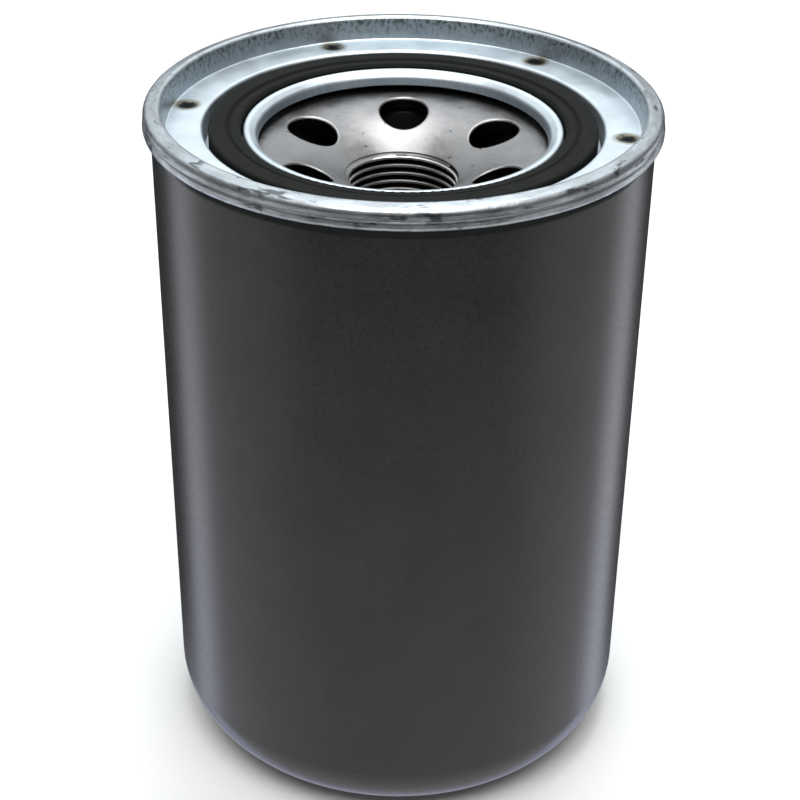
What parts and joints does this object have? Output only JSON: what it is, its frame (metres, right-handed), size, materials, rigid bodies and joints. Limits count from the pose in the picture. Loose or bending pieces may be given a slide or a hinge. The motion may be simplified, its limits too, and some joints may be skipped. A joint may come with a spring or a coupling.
{
  "type": "spin-on oil filter",
  "caption": "Spin-on oil filter: painted steel can with a seamed zinc lid, sealing gasket, dished base plate with inlet holes and a threaded neck.",
  "frame": {"origin": "middle of the closed end of the can, on the surface it stands on", "axes": "+Z along the filter's axis, from the closed end to the threaded end; +Y through one inlet hole"},
  "size_m": [0.087, 0.087, 0.1236],
  "materials": {
    "can_paint": "satin",
    "zinc_plate": "bright zinc plated, scuffed on the rim",
    "plate_steel": "pressed, satin",
    "tinplate": "bright rolled",
    "spring_steel": "drawn, oiled",
    "gasket_rubber": "moulded, matt",
    "valve_rubber": "moulded, matt",
    "seam_lining": "cured lining",
    "filter_paper": "resin-treated paper",
    "bond_resin": "cured plastisol"
  },
  "bodies": {
    "housing": {"outer_can": "can_paint", "seaming_lid": "zinc_plate", "seam_compound": "seam_lining", "sealing_gasket": "gasket_rubber", "base_plate": "plate_steel", "element_spring": "spring_steel"},
    "drainback_flap": {"antidrain_valve": "valve_rubber"},
    "element": {"upper_end_cap": "tinplate", "lower_end_cap": "tinplate", "upper_potting": "bond_resin", "lower_potting": "bond_resin", "centre_tube": "tinplate", "pleated_media": "filter_paper", "media_seam_clip": "tinplate", "bypass_seat": "tinplate", "bypass_cage": "tinplate", "bypass_spring": "spring_steel", "spring_seat": "tinplate"},
    "bypass_disc": {"bypass_poppet": "tinplate", "bypass_seal": "valve_rubber"}
  },
  "joints": [
    {"name": "element_travel", "type": "slide", "parent": "housing", "child": "element", "axis": [0, 0, -1], "range_m": [0, 0.002], "stiffness_N_per_m": 5000, "springref_m": -0.003, "deforming": ["element_spring"]},
    {"name": "bypass_opening", "type": "slide", "parent": "element", "child": "bypass_disc", "axis": [0, 0, 1], "range_m": [0, 0.003], "stiffness_N_per_m": 200, "springref_m": -0.002, "deforming": ["bypass_spring"]},
    {"name": "drainback_opening", "type": "slide", "parent": "housing", "child": "drainback_flap", "axis": [0, 0, -1], "range_m": [0, 0.0012], "stiffness_N_per_m": 100, "springref_m": -0.001}
  ]
}
